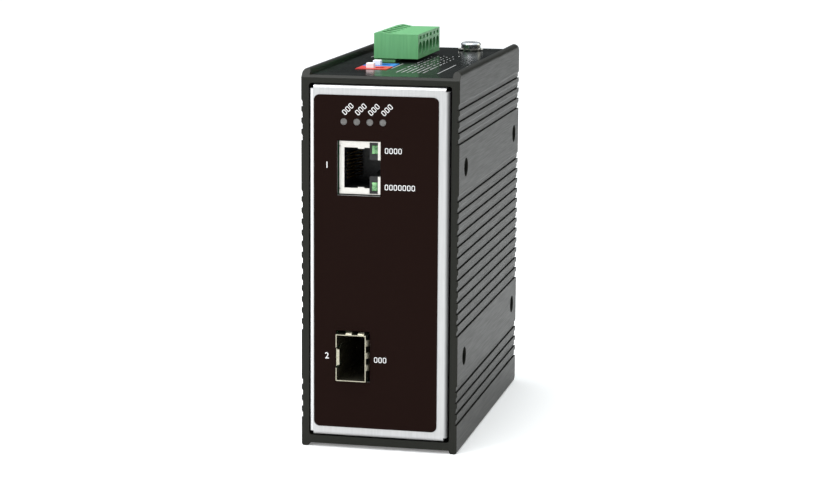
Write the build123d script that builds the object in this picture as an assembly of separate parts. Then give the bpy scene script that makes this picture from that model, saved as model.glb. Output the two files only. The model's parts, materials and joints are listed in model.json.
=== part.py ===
from build123d import *
import os
from math import cos, pi, sin

# A fibre media converter for a mounting rail: a grooved aluminium case with a folded front panel,
# a network jack and a fibre cage on one upright board, and a pluggable terminal on the top.
# Millimetres. X is to the right seen from the front, Y is to the back, Z is up.
# The origin is on the ground under the middle of the whole object.

# Case, an extrusion along Y
case_width = 46.8
case_depth = 98.3
case_height = 112.0
side_wall = 2.3
top_wall = 2.25
bottom_wall = 2.4
lip_rise = 1.8
lip_drop = 1.0
lip_outer_round = 1.4
lip_inner_round = 0.85
foot_round = 0.8
front_chamfer = 2.5
rear_chamfer = 2.2
foot_chamfer = 1.6
bore_round = 0.8

# Cooling grooves along both sides
groove_pitch = 3.3
groove_height = 2.05
groove_depth = 0.35
groove_undercut = 0.35
groove_undercut_height = 0.38
groove_upper_bevel = 0.6
first_groove_drop = 11.0
last_groove_rise = 8.5
end_groove_count = 4
groove_skip_count = 4

# Four holes in each side, for a wall bracket
side_hole_diameter = 5.5
side_hole_front = 10.2
side_hole_rear = 8.1
side_hole_drop = 28.4
side_hole_rise = 27.4

# Folded front panel and rear cover
sheet = 0.8
bend_radius = 1.0
corner_relief = 1.1
panel_gap = 0.45
front_proud = 1.0
flange_depth = 7.2
flange_screw_inset = 4.6
flange_screw_side_inset = 4.15

# Dark front overlay
overlay_thickness = 0.2
overlay_left_margin = 1.3
overlay_right_margin = 3.1
overlay_end_margin = 2.7
overlay_round = 1.7

# Upright circuit board and the rails that guide it
board_inset = 8.65
board_thickness = 1.6
board_edge_gap = 1.0
board_front_gap = 1.5
board_rear_gap = 3.5
rail_wall = 1.0
rail_height = 4.0
rail_grip = 2.0
rail_clearance = 0.15
rail_setback = 2.5

# Network jack
jack_drop = 28.4
jack_width = 15.4
jack_height = 12.3
jack_depth = 21.0
jack_recess = 0.3
jack_lift = 0.35
jack_cutout_gap = 0.3
jack_wall = 0.25
jack_mouth_width = 11.8
jack_mouth_height = 7.5
jack_mouth_start = 1.5
jack_mouth_depth = 14.0
jack_latch_width = 4.8
jack_latch_end = 0.8
jack_latch_way = 5.2
jack_rim = 0.2
jack_stop_width = 1.9
jack_stop_rise = 0.3
jack_notch = 0.4
jack_notch_offset = 6.2
jack_foot_length = 2.0
jack_insert_gap = 0.05
jack_lamp_width = 1.8
jack_lamp_height = 2.5
jack_lamp_length = 5.0
jack_lamp_offset = 5.4
jack_lamp_recess = 0.1
jack_lamp_round = 0.3
contact_count = 8
contact_pitch = 1.02
contact_wire = 0.35
contact_lean = 2.4
contact_start = 4.5
contact_end_inset = 1.5

# Fibre cage
cage_z = 27.7
cage_width = 13.9
cage_height = 9.0
cage_length = 48.0
cage_proud = 2.6
cage_lift = 0.05
cage_wall = 0.25
finger_bulge = 0.85
finger_length = 4.4
finger_width = 1.8
finger_pitch = 3.65
finger_shift = 1.05
finger_raise = 0.9
finger_inset = 0.4
finger_sheet = 0.2
cage_slack = 0.3
cage_latch_width = 5.6
cage_latch_depth = 6.0
cage_slit = 0.5
cage_tab_rise = 0.9
cage_tab_width = 4.6
cage_tab_inset = 0.8
connector_length = 9.0
connector_width = 11.6
connector_height = 5.4
connector_gap = 0.1
connector_mouth_height = 1.4
connector_mouth_wall = 1.2
connector_mouth_floor = 3.0

# Status lamps
lamp_count = 4
lamp_pitch = 3.86
lamp_first_lift = 2.0
lamp_rise = 13.5
lamp_diameter = 1.9
lamp_hole_gap = 0.05
lamp_block_height = 4.4
lamp_block_depth = 6.0
lamp_block_front = 2.6

# Glossy top plate in a shallow pocket
top_plate_thickness = 0.6
top_plate_rim = 1.4
top_plate_side_gap = 0.25
top_plate_opening_gap = 0.3

# Two slide switches that stand in the top slot
switch_count = 2
switch_length = 9.5
switch_width = 8.75
switch_gap = 0.1
switch_height = 6.0
switch_rise = 0.15
switch_board_gap = 0.1
slot_width = 3.0
slot_depth = 2.2
lever_length = 2.3
lever_width = 2.4
lever_rise = 1.4
lever_travel = 2.6
lever_gap = 0.3
lever_inset = 2.5
lever_round = 0.2

# Share of the free depth that lies in front of the switches and the terminal
front_free_share = 0.485

# Pluggable terminal
pole_count = 6
pole_pitch = 5.08
plug_end_wall = 0.76
plug_behind_switches = 6.4
plug_width = 13.8
plug_height = 7.5
plug_lift = 1.0
ridge_rise = 0.55
ridge_width = 5.1
ridge_peak_inset = 2.0
ridge_edge_rise = 0.2
plug_foot_length = 7.2
plug_foot_gap = 0.3
wire_entry_width = 3.8
wire_entry_height = 3.8
wire_entry_z = 3.15
test_slot_width = 2.3
test_slot_height = 1.0
test_slot_depth = 2.5
test_slot_z = 6.3
header_width = 6.6
header_wall = 1.0
header_depth = 13.0
header_floor = 5.4
header_gap = 0.35
header_end_inset = 0.4
pin_size = 1.0
pin_tail = 2.6
pin_hole_diameter = 1.5
pin_socket = 1.8
clamp_width = 3.4
clamp_length = 4.2
clamp_height = 3.8
clamp_wall = 0.5
clamp_gap = 0.1
clamp_rise = 1.1
contact_sheet = 0.25
contact_width = 1.8
contact_gap = 0.3
contact_bend_rise = 0.45
clamp_screw_head = 3.2
clamp_screw_head_height = 0.9
clamp_screw_shank = 2.4
clamp_screw_gap = 0.3
driver_slot = 0.55
thread_gap = 0.1

# Ground screw and its toothed washer
ground_side_inset = 12.0
ground_inset = 8.9
ground_head_diameter = 6.5
ground_head_height = 1.8
ground_shank_diameter = 3.0
ground_shank_length = 6.0
ground_cross_depth = 1.2
washer_diameter = 7.9
washer_thickness = 0.4
washer_tooth_count = 10
washer_tooth_length = 1.1
washer_tooth_width = 1.3
washer_tooth_root = 0.4
washer_tilt = 20.0
washer_lift = 0.25

# Small countersunk screws
flat_head_diameter = 5.5
flat_head_height = 1.3
flat_head_rim = 0.2
flat_shank_diameter = 3.0
flat_screw_length = 5.0
cross_length = 3.0
cross_width = 0.6
cross_depth = 0.9

# Clip for a 35 mm mounting rail, on the rear cover
rail_span = 35.0
rail_sheet = 1.0
rail_gap = 0.4
clip_width = 30.0
clip_thickness = 5.0
clip_rail_rise = 4.3
hook_height = 3.0
hook_cover = 1.9
hook_wall = 2.0
clip_foot = 6.5
clip_screw_x = 11.4
clip_screw_low = 5.0
clip_screw_high = 29.0
clip_screw_length = 8.0
clip_collar_diameter = 5.0
channel_floor = 1.0
channel_step = 2.0
channel_half_wide = 8.2
channel_half_narrow = 6.4
channel_above_rail_foot = 15.0
latch_gap = 0.3
latch_bridge = 2.0
latch_tail = 8.0
latch_tongue = 1.6
latch_tongue_wall = 2.2
latch_eye_width = 7.0
latch_eye_height = 2.0
spring_window_width = 4.4
spring_window_length = 11.0
spring_lug_height = 1.5
spring_diameter = 3.0
spring_wire = 0.45
spring_turns = 5
spring_steps = 12
spring_wire_sides = 6

# Parts on the board
chip_side = 14.0
chip_height = 1.6
chip_y = 40.0
chip_z = 49.3
lead_count = 10
lead_pitch = 1.2
lead_width = 0.5
lead_reach = 1.2
lead_thickness = 0.3
magnetics_size = (16.0, 7.0, 6.0)
magnetics_gap = 1.5
relay_size = (20.0, 10.0, 10.5)
relay_drop = 14.5
inductor_size = (12.5, 12.5, 8.0)
inductor_inset = 20.3
inductor_z = 59.3
capacitor_diameter = 10.0
capacitor_height = 12.0
capacitor_inset = 18.3
capacitor_z = 37.3
capacitor_spacing = 13.0
capacitor_edge = 0.6
crystal_size = (11.0, 4.6, 3.5)
crystal_y = 56.0
crystal_z = 49.3
block_round = 0.5

# How far a cutting tool reaches past the face that it cuts
cut_margin = 1.0

# Places that follow from the sizes
clip_reach = clip_thickness + rail_sheet + rail_gap + latch_tongue_wall
front = -(case_depth + clip_reach - cage_proud) / 2
rear = front + case_depth
half_width = case_width / 2
inner_half_width = half_width - side_wall
top_face = case_height - lip_rise
underside = lip_drop
bore_top = top_face - top_wall
bore_bottom = underside + bottom_wall
panel_face = front - front_proud
panel_half_width = inner_half_width - panel_gap
flange_screw_x = panel_half_width - flange_screw_side_inset
panel_top = bore_top - panel_gap
panel_bottom = bore_bottom + panel_gap
panel_middle = (panel_top + panel_bottom) / 2
jack_z = case_height - jack_drop
lamp_z = jack_z + lamp_rise
ground_x = inner_half_width - ground_side_inset
ground_y = rear - ground_inset
clip_rail_z = case_height / 2 + clip_rail_rise
board_face_x = board_inset - inner_half_width
board_back_x = board_face_x - board_thickness
lamp_first_x = board_face_x + lamp_first_lift
board_top = panel_top - sheet - board_edge_gap
board_bottom = panel_bottom + sheet + board_edge_gap
jack_left = board_face_x + jack_lift
jack_front = front + jack_recess
magnetics_y = jack_front + jack_depth + magnetics_gap + magnetics_size[0] / 2
cage_left = board_face_x + cage_lift
cage_right = cage_left + cage_height
cage_front = front - cage_proud
switch_left = board_face_x + switch_board_gap
switch_right = switch_left + switch_length
switch_top = top_face + switch_rise
top_slot_left = board_face_x - rail_clearance
top_slot_right = switch_right + rail_clearance
plug_length = pole_count * pole_pitch + 2 * plug_end_wall
switches_length = switch_count * (switch_width + switch_gap) - switch_gap
top_row_length = switches_length + plug_behind_switches + plug_length
switches_start = front + front_free_share * (case_depth - top_row_length)
plug_start = switches_start + switches_length + plug_behind_switches
plug_middle_y = plug_start + plug_length / 2
header_left = board_face_x + switch_board_gap
header_middle_x = header_left + header_width / 2
plug_left = header_left
plug_right = plug_left + plug_width
plug_bottom = top_face + plug_lift
plug_top = plug_bottom + plug_height
header_top = plug_bottom - header_gap
header_bottom = header_top - header_depth
plug_foot_bottom = plug_bottom - plug_foot_length
clamp_bottom = plug_bottom + wire_entry_z - clamp_height / 2
clamp_top = clamp_bottom + clamp_height
clamp_left = header_middle_x - clamp_length / 2
clamp_right = header_middle_x + clamp_length / 2
contact_top = clamp_top - clamp_wall - contact_gap
contact_left = clamp_left - contact_gap - contact_sheet
clamp_head_low = clamp_top + clamp_rise + clamp_gap
clip_back = rear + clip_thickness
rail_foot_z = clip_rail_z - rail_span / 2
rail_head_z = clip_rail_z + rail_span / 2
clip_bottom = rail_foot_z - clip_foot
clip_top = rail_head_z + rail_gap + hook_height
channel_top = rail_foot_z + channel_above_rail_foot
latch_top = channel_top - latch_gap
window_top = latch_top - latch_bridge
window_bottom = window_top - spring_window_length
lug_bottom = window_bottom + latch_gap
lug_top = lug_bottom + spring_lug_height


def block(x_low, x_high, y_low, y_high, z_low, z_high):
    """A box given by its corners."""
    middle = ((x_low + x_high) / 2, (y_low + y_high) / 2, (z_low + z_high) / 2)
    return Pos(middle) * Box(x_high - x_low, y_high - y_low, z_high - z_low)


def along_x(sketch, x_low, x_high):
    """Extrudes a sketch, drawn with Y to the right and Z up, along X."""
    plane = Plane((x_low, 0, 0), x_dir=(0, 1, 0), z_dir=(1, 0, 0))
    return extrude(plane * sketch, amount=x_high - x_low)


def along_y(sketch, y_low, y_high):
    """Extrudes a sketch, drawn with X to the right and Z up, along Y."""
    plane = Plane((0, y_low, 0), x_dir=(1, 0, 0), z_dir=(0, -1, 0))
    return extrude(plane * sketch, amount=y_low - y_high)


def along_z(sketch, z_low, z_high):
    """Extrudes a sketch, drawn with X to the right and Y up, along Z."""
    return extrude(Pos(0, 0, z_low) * sketch, amount=z_high - z_low)


def polygon(*points):
    """A closed outline through its points."""
    return make_face(Polyline(*points, close=True))


def rod_x(x_low, x_high, y, z, diameter):
    """A round rod along X."""
    return along_x(Pos(y, z) * Circle(diameter / 2), x_low, x_high)


def rod_y(y_low, y_high, x, z, diameter):
    """A round rod along Y."""
    return along_y(Pos(x, z) * Circle(diameter / 2), y_low, y_high)


def rod_z(z_low, z_high, x, y, diameter):
    """A round rod along Z."""
    return along_z(Pos(x, y) * Circle(diameter / 2), z_low, z_high)


def groove_levels():
    """Heights of the lower edge of each cooling groove, from the top down."""
    level = case_height - first_groove_drop
    row_count = int((level - last_groove_rise) / groove_pitch) + 1
    middle_count = row_count - 2 * (end_groove_count + groove_skip_count)
    counts = (end_groove_count, middle_count, end_groove_count)
    levels = []
    for count in counts:
        for _ in range(count):
            levels.append(level)
            level -= groove_pitch
        level -= groove_skip_count * groove_pitch
    return levels


def groove_section(level, side):
    """A cooling groove, with a notch along its sharp lower edge and a softer upper one."""
    outside = side * (half_width + cut_margin)
    face = side * half_width
    floor = side * (half_width - groove_depth)
    notch = side * (half_width - groove_depth - groove_undercut)
    return polygon(
        (outside, level),
        (notch, level),
        (floor, level + groove_undercut_height),
        (floor, level + groove_height - groove_upper_bevel),
        (face, level + groove_height),
        (outside, level + groove_height),
    )


def round_corner(sketch, x, z, radius):
    """Rounds the corner of a sketch that lies nearest to a point."""
    corner = sketch.vertices().sort_by_distance((x, z, 0))[0]
    return fillet(corner, radius)


def case_section():
    """The extruded section of the case: walls, lips, board rails and cooling grooves."""
    wall_middle = (underside + top_face) / 2
    section = Pos(0, wall_middle) * Rectangle(case_width, top_face - underside)
    for side in (-1, 1):
        lip_x = side * (half_width - side_wall / 2)
        section += Pos(lip_x, case_height / 2) * Rectangle(side_wall, case_height)
    for side in (-1, 1):
        section = round_corner(section, side * half_width, case_height, lip_outer_round)
        section = round_corner(section, side * inner_half_width, case_height, lip_inner_round)
        section = round_corner(section, side * half_width, 0, foot_round)
        section = round_corner(section, side * inner_half_width, 0, foot_round)
    bore_height = bore_top - bore_bottom
    bore_middle = (bore_top + bore_bottom) / 2
    section -= Pos(0, bore_middle) * RectangleRounded(2 * inner_half_width, bore_height, bore_round)
    section += board_rail_section(bore_bottom, 1)
    section += board_rail_section(bore_top, -1)
    for level in groove_levels():
        for side in (-1, 1):
            section -= groove_section(level, side)
    return section


def board_rail_section(wall_z, direction):
    """A grooved rail on a wall of the bore, which holds one edge of the board."""
    rail_left = board_back_x - rail_clearance - rail_wall
    rail_right = board_face_x + rail_clearance + rail_wall
    rail_end = wall_z + direction * rail_height
    groove_end = rail_end - direction * rail_grip
    rail_root = wall_z - direction * min(top_wall, bottom_wall) / 2
    groove_mouth = rail_end + direction * cut_margin
    rail = polygon(
        (rail_left, rail_root),
        (rail_right, rail_root),
        (rail_right, rail_end),
        (rail_left, rail_end),
    )
    return rail - polygon(
        (board_back_x - rail_clearance, groove_end),
        (board_face_x + rail_clearance, groove_end),
        (board_face_x + rail_clearance, groove_mouth),
        (board_back_x - rail_clearance, groove_mouth),
    )


def end_chamfer(y_end, z_end, y_sign, z_sign, size):
    """The wedge that a slanted cut takes off a lower or upper end edge of the case."""
    wedge = polygon(
        (y_end + y_sign * cut_margin, z_end - z_sign * (size + cut_margin)),
        (y_end - y_sign * (size + cut_margin), z_end + z_sign * cut_margin),
        (y_end + y_sign * cut_margin, z_end + z_sign * cut_margin),
    )
    return along_x(wedge, -half_width - cut_margin, half_width + cut_margin)


def side_hole_places():
    """Y and Z of the four holes in each side."""
    for y in (front + side_hole_front, rear - side_hole_rear):
        for z in (case_height - side_hole_drop, side_hole_rise):
            yield y, z


def flange_screw_places():
    """X and Y of the countersunk screws that hold the front panel and the rear cover."""
    for x in (-flange_screw_x, flange_screw_x):
        yield x, front + flange_screw_inset
        yield x, rear - flange_screw_inset


def flat_screw(length):
    """A countersunk screw that points down, with the top of its head at the origin."""
    profile = polygon(
        (0, 0),
        (flat_head_diameter / 2, 0),
        (flat_head_diameter / 2, -flat_head_rim),
        (flat_shank_diameter / 2, -flat_head_height),
        (flat_shank_diameter / 2, -length),
        (0, -length),
    )
    screw = revolve(Plane.XZ * profile, Axis.Z)
    cross = Rectangle(cross_length, cross_width) + Rectangle(cross_width, cross_length)
    return screw - along_z(cross, -cross_depth, cut_margin)


def countersink():
    """The hole in a wall for a countersunk screw, with the screw's clearance around it."""
    gap = thread_gap
    profile = polygon(
        (0, cut_margin),
        (flat_head_diameter / 2 + gap, cut_margin),
        (flat_head_diameter / 2 + gap, -flat_head_rim),
        (flat_shank_diameter / 2 + gap, -flat_head_height - gap),
        (flat_shank_diameter / 2 + gap, -flat_screw_length),
        (0, -flat_screw_length),
    )
    return revolve(Plane.XZ * profile, Axis.Z)


def top_screw_seat(x, y):
    """Where a top screw's head lies, in the floor of the plate's pocket."""
    return Pos(x, y, top_face - top_plate_thickness)


def bottom_screw_seat(x, y):
    """Where a bottom screw's head lies, flush with the underside and pointing up."""
    return Pos(x, y, underside) * Rot(180, 0, 0)


def make_housing():
    """The aluminium extrusion, with its end cuts, plate pocket, connector slot and holes."""
    body = along_y(case_section(), front, rear)
    body -= end_chamfer(front, case_height, -1, 1, front_chamfer)
    body -= end_chamfer(rear, case_height, 1, 1, rear_chamfer)
    body -= end_chamfer(rear, 0, 1, -1, foot_chamfer)
    pocket_floor = top_face - top_plate_thickness
    body -= block(
        -inner_half_width, inner_half_width,
        front + top_plate_rim, rear - top_plate_rim,
        pocket_floor, case_height + cut_margin,
    )
    rail_zone_left = board_back_x - rail_clearance - rail_wall - cut_margin
    rail_zone_right = board_face_x + rail_clearance + rail_wall + cut_margin
    rail_front = front + flange_depth + rail_setback
    rail_rear = rear - flange_depth - rail_setback
    for y_low, y_high in ((front - cut_margin, rail_front), (rail_rear, rear + cut_margin)):
        body -= block(
            rail_zone_left, rail_zone_right, y_low, y_high,
            bore_bottom, bore_top,
        )
    body -= block(
        top_slot_left, top_slot_right,
        switches_start - rail_clearance, rear + cut_margin,
        bore_top - rail_height - cut_margin, case_height,
    )
    for y, z in side_hole_places():
        body -= rod_x(-half_width - cut_margin, half_width + cut_margin, y, z, side_hole_diameter)
    for x, y in flange_screw_places():
        body -= top_screw_seat(x, y) * countersink()
        body -= bottom_screw_seat(x, y) * countersink()
    ground_hole = ground_shank_diameter + 2 * thread_gap
    body -= rod_z(bore_top - cut_margin, top_face, ground_x, ground_y, ground_hole)
    return body


def folded_tray(depth):
    """A sheet folded back on four sides, with open corners. Its face is at Y = 0."""
    width = 2 * panel_half_width
    height = panel_top - panel_bottom
    tray = Pos(0, depth / 2, panel_middle) * Box(width, depth, height)
    for x in (-panel_half_width, panel_half_width):
        for z in (panel_bottom, panel_top):
            tray -= Pos(x, depth / 2, z) * Box(2 * corner_relief, 2 * depth, 2 * corner_relief)
    face_edges = tray.faces().sort_by(Axis.Y)[0].edges()
    long_edges = [edge for edge in face_edges if edge.length > 2 * corner_relief]
    tray = fillet(long_edges, bend_radius)
    hollow = Pos(0, depth / 2 + sheet, panel_middle) * Box(width - 2 * sheet, depth, height - 2 * sheet)
    hollow_edges = hollow.faces().sort_by(Axis.Y)[0].edges()
    return tray - fillet(hollow_edges, bend_radius - sheet)


def drill_flanges(tray, y):
    """Opens the screw holes in a tray's upper and lower flanges."""
    for x in (-flange_screw_x, flange_screw_x):
        tray -= rod_z(
            panel_bottom - cut_margin, panel_top + cut_margin,
            x, y, flat_shank_diameter,
        )
    return tray


def jack_cutout(y_low, y_high):
    """The window around the network jack."""
    gap = jack_cutout_gap
    return block(
        jack_left - gap, jack_left + jack_height + gap, y_low, y_high,
        jack_z - jack_width / 2 - gap, jack_z + jack_width / 2 + gap,
    )


def cage_cutout(y_low, y_high):
    """The window around the fibre cage and its spring fingers."""
    gap = finger_bulge + thread_gap
    return block(
        cage_left - cage_slack, cage_right + gap, y_low, y_high,
        cage_z - cage_width / 2 - cage_slack, cage_z + cage_width / 2 + gap,
    )


def lamp_places():
    """X of each status lamp."""
    return [lamp_first_x + i * lamp_pitch for i in range(lamp_count)]


def front_windows(y_low, y_high):
    """All windows that pass through the front panel and its overlay."""
    windows = [jack_cutout(y_low, y_high), cage_cutout(y_low, y_high)]
    for x in lamp_places():
        windows.append(rod_y(y_low, y_high, x, lamp_z, lamp_diameter + 2 * lamp_hole_gap))
    return windows


def make_front_panel():
    """The bright folded panel that stands a little proud of the case."""
    panel = Pos(0, panel_face, 0) * folded_tray(front_proud + flange_depth)
    panel = drill_flanges(panel, front + flange_screw_inset)
    for window in front_windows(panel_face - cut_margin, panel_face + sheet + cut_margin):
        panel -= window
    return panel


def make_front_overlay():
    """The thin dark film on the front panel."""
    width = 2 * panel_half_width - overlay_left_margin - overlay_right_margin
    height = panel_top - panel_bottom - 2 * overlay_end_margin
    shift = (overlay_left_margin - overlay_right_margin) / 2
    outline = Pos(shift, panel_middle) * RectangleRounded(width, height, overlay_round)
    film = along_y(outline, panel_face - overlay_thickness, panel_face)
    for window in front_windows(panel_face - cut_margin, panel_face + cut_margin):
        film -= window
    return film


def clip_screw_places():
    """X and Z of the four screws that hold the rail clip."""
    for x in (-clip_screw_x, clip_screw_x):
        yield x, clip_bottom + clip_screw_low
        yield x, clip_bottom + clip_screw_low + clip_screw_high


def make_rear_cover():
    """The plain folded cover that closes the back and carries the rail clip."""
    cover = Pos(0, rear, 0) * Rot(0, 0, 180) * folded_tray(flange_depth)
    cover = drill_flanges(cover, rear - flange_screw_inset)
    for x, z in clip_screw_places():
        cover += rod_y(rear - 2 * sheet, rear - sheet, x, z, clip_collar_diameter)
        cover -= rod_y(rear - 3 * sheet, rear + cut_margin, x, z, flat_shank_diameter)
    return cover


def make_panel_screws(y):
    """The four countersunk screws that hold the front panel or the rear cover."""
    screws = []
    for x in (-flange_screw_x, flange_screw_x):
        screws.append(top_screw_seat(x, y) * flat_screw(flat_screw_length))
        screws.append(bottom_screw_seat(x, y) * flat_screw(flat_screw_length))
    return screws


def make_top_plate():
    """The glossy plate in the top pocket, open around the switches and the terminal."""
    floor = top_face - top_plate_thickness
    half = inner_half_width - top_plate_side_gap
    plate = block(
        -half, half,
        front + top_plate_rim + top_plate_side_gap, rear - top_plate_rim - top_plate_side_gap,
        floor, top_face,
    )
    around = top_plate_opening_gap
    plate -= block(
        switch_left - around, switch_right + around,
        switches_start - around, switches_start + switches_length + around,
        floor - cut_margin, top_face + cut_margin,
    )
    plate -= block(
        header_left - around, header_left + header_width + around,
        plug_start + header_end_inset - around,
        plug_start + plug_length - header_end_inset + around,
        floor - cut_margin, top_face + cut_margin,
    )
    hole = ground_shank_diameter + 2 * thread_gap
    plate -= rod_z(floor - cut_margin, top_face + cut_margin, ground_x, ground_y, hole)
    return plate


def make_main_board():
    """The upright circuit board, drilled for the terminal's pins."""
    board = block(
        board_back_x, board_face_x,
        front + board_front_gap, rear - sheet - board_rear_gap,
        board_bottom, board_top,
    )
    for y in pole_places():
        board -= rod_x(
            board_back_x - cut_margin, board_face_x + cut_margin,
            y, pin_leg_z(), pin_hole_diameter,
        )
    return board


def make_jack_shield():
    """The folded steel can of the network jack, with its front frame."""
    back = jack_front + jack_depth
    low = jack_z - jack_width / 2
    high = jack_z + jack_width / 2
    right = jack_left + jack_height
    can = block(jack_left, right, jack_front, back, low, high)
    can -= block(
        jack_left + jack_wall, right - jack_wall,
        jack_front + jack_wall, back - jack_wall,
        low + jack_wall, high - jack_wall,
    )
    mouth_left = jack_left + jack_mouth_start
    mouth_right = mouth_left + jack_mouth_height
    cut_front = jack_front - cut_margin
    cut_back = jack_front + 2 * jack_wall
    can -= block(
        mouth_left, mouth_right, cut_front, cut_back,
        jack_z - jack_mouth_width / 2, jack_z + jack_mouth_width / 2,
    )
    can -= block(
        mouth_right, right - jack_latch_end, cut_front, cut_back,
        low + jack_rim, high - jack_rim,
    )
    can -= block(
        mouth_right, right + cut_margin, cut_front, jack_front + jack_latch_way,
        jack_z - jack_latch_width / 2, jack_z + jack_latch_width / 2,
    )
    stop_middle = (mouth_left + right - jack_latch_end) / 2
    stop_half = jack_stop_width / 2
    for side in (-1, 1):
        edge = jack_z + side * jack_mouth_width / 2
        stop_low, stop_high = sorted((edge, edge - side * jack_stop_rise))
        can += block(
            stop_middle - stop_half, stop_middle + stop_half,
            jack_front, jack_front + jack_wall, stop_low, stop_high,
        )
        notch_z = jack_z + side * jack_notch_offset
        can -= block(
            jack_left - cut_margin, jack_left + jack_notch,
            cut_front, cut_back, notch_z - jack_notch / 2, notch_z + jack_notch / 2,
        )
    for y in (jack_front + jack_depth / 3, jack_front + 2 * jack_depth / 3):
        can += block(board_face_x, jack_left, y, y + jack_foot_length, low, low + jack_wall)
        can += block(board_face_x, jack_left, y, y + jack_foot_length, high - jack_wall, high)
    return can


def jack_lamp_z(side):
    """Height of a lamp in the jack, below or above its latch opening."""
    return jack_z + side * jack_lamp_offset


def make_jack_insert():
    """The black moulding inside the shield, with the plug's mouth and the latch's way."""
    gap = jack_insert_gap
    low = jack_z - jack_width / 2 + jack_wall + gap
    high = jack_z + jack_width / 2 - jack_wall - gap
    right = jack_left + jack_height - jack_wall - gap
    insert_front = jack_front + jack_wall + gap
    insert = block(
        jack_left + jack_wall + gap, right, insert_front,
        jack_front + jack_depth - jack_wall - gap, low, high,
    )
    mouth_left = jack_left + jack_mouth_start
    mouth_right = mouth_left + jack_mouth_height
    insert -= block(
        mouth_left, mouth_right, insert_front - cut_margin, jack_front + jack_mouth_depth,
        jack_z - jack_mouth_width / 2, jack_z + jack_mouth_width / 2,
    )
    insert -= block(
        mouth_right - cut_margin, right + cut_margin,
        insert_front - cut_margin, jack_front + jack_mouth_depth,
        jack_z - jack_latch_width / 2, jack_z + jack_latch_width / 2,
    )
    for side in (-1, 1):
        insert -= jack_lamp_block(side, gap, cut_margin)
    for z in contact_places():
        groove = contact_wire / 2 + gap
        insert -= block(
            mouth_left - 2 * contact_wire, mouth_left,
            jack_front + 3 * jack_wall, jack_front + jack_mouth_depth,
            z - groove, z + groove,
        )
    return insert


def jack_lamp_block(side, gap, extra_front):
    """The space of one lamp in the jack, widened by a gap."""
    lamp_right = jack_left + jack_height - jack_latch_end
    z = jack_lamp_z(side)
    start = jack_front + jack_lamp_recess
    return block(
        lamp_right - jack_lamp_width - gap, lamp_right + gap,
        start - extra_front, start + jack_lamp_length + gap,
        z - jack_lamp_height / 2 - gap, z + jack_lamp_height / 2 + gap,
    )


def make_jack_lamps():
    """The two lamp lenses of the network jack, with eased fronts."""
    lenses = []
    for side in (-1, 1):
        lens = jack_lamp_block(side, 0, 0)
        front_edges = lens.faces().sort_by(Axis.Y)[0].edges()
        lenses.append(fillet(front_edges, jack_lamp_round))
    return lenses


def contact_places():
    """Z of each contact of the network jack."""
    first = jack_z - contact_pitch * (contact_count - 1) / 2
    return [first + i * contact_pitch for i in range(contact_count)]


def make_jack_contacts():
    """The spring wires that lean out of the mouth's wall."""
    wall_x = jack_left + jack_mouth_start
    start = jack_front + contact_start
    end = jack_front + jack_mouth_depth - contact_end_inset
    tip_x = wall_x + contact_lean
    contacts = []
    for z in contact_places():
        path = polygon(
            (wall_x - contact_wire, start),
            (wall_x, start),
            (tip_x, end),
            (tip_x, end + contact_wire),
            (tip_x - contact_wire, end + contact_wire),
            (wall_x - contact_wire, start + 2 * contact_wire),
        )
        contacts.append(along_z(path, z - contact_wire / 2, z + contact_wire / 2))
    return contacts


def spring_finger():
    """A bowed strip that lies on a wall at Z = 0 and runs along Y, centred on X = 0."""
    length = finger_length
    bulge = finger_bulge
    radius = (length * length / 4 + bulge * bulge) / (2 * bulge)
    ring = Pos(0, bulge - radius) * (Circle(radius) - Circle(radius - finger_sheet))
    strip = ring & Pos(0, bulge / 2) * Rectangle(length, bulge)
    return along_x(strip, -finger_width / 2, finger_width / 2)


def finger_sites():
    """Where the spring fingers sit on the cage: a location for each."""
    y = cage_front + finger_length / 2 + finger_inset
    middle_x = (cage_left + cage_right) / 2 + finger_shift
    for x in (middle_x - finger_pitch / 2, middle_x + finger_pitch / 2):
        yield Pos(x, y, cage_z + cage_width / 2)
    for step in (-1, 0, 1):
        yield Pos(cage_right, y, cage_z + finger_raise + step * finger_pitch) * Rot(0, 90, 0)


def make_fibre_cage():
    """The thin steel cage for a fibre module, open at the front, with spring fingers."""
    back = cage_front + cage_length
    low = cage_z - cage_width / 2
    high = cage_z + cage_width / 2
    cage = block(cage_left, cage_right, cage_front, back, low, high)
    cage -= block(
        cage_left + cage_wall, cage_right - cage_wall,
        cage_front - cut_margin, back - cage_wall,
        low + cage_wall, high - cage_wall,
    )
    half = cage_latch_width / 2
    for side in (-1, 1):
        z = cage_z + side * half
        cage -= block(
            cage_left - cut_margin, cage_left + cage_wall,
            cage_front - cut_margin, cage_front + cage_latch_depth,
            z - cage_slit / 2, z + cage_slit / 2,
        )
    tab_front = cage_front + cage_tab_inset
    cage -= block(
        cage_left - cut_margin, cage_left + cage_wall,
        cage_front - cut_margin, tab_front,
        cage_z - half, cage_z + half,
    )
    cage += block(
        cage_left, cage_left + cage_tab_rise, tab_front, tab_front + cage_wall,
        cage_z - cage_tab_width / 2, cage_z + cage_tab_width / 2,
    )
    for site in finger_sites():
        cage += site * spring_finger()
    return cage


def make_cage_connector():
    """The black edge connector at the inner end of the cage."""
    back = cage_front + cage_length - cage_wall - connector_gap
    start = back - connector_length
    low_x = cage_left + cage_wall + connector_gap
    half = connector_width / 2
    body = block(
        low_x, low_x + connector_height, start, back, cage_z - half, cage_z + half,
    )
    mouth_x = low_x + connector_height / 2
    mouth_half = half - connector_mouth_wall
    return body - block(
        mouth_x, mouth_x + connector_mouth_height,
        start - cut_margin, back - connector_mouth_floor,
        cage_z - mouth_half, cage_z + mouth_half,
    )


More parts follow.
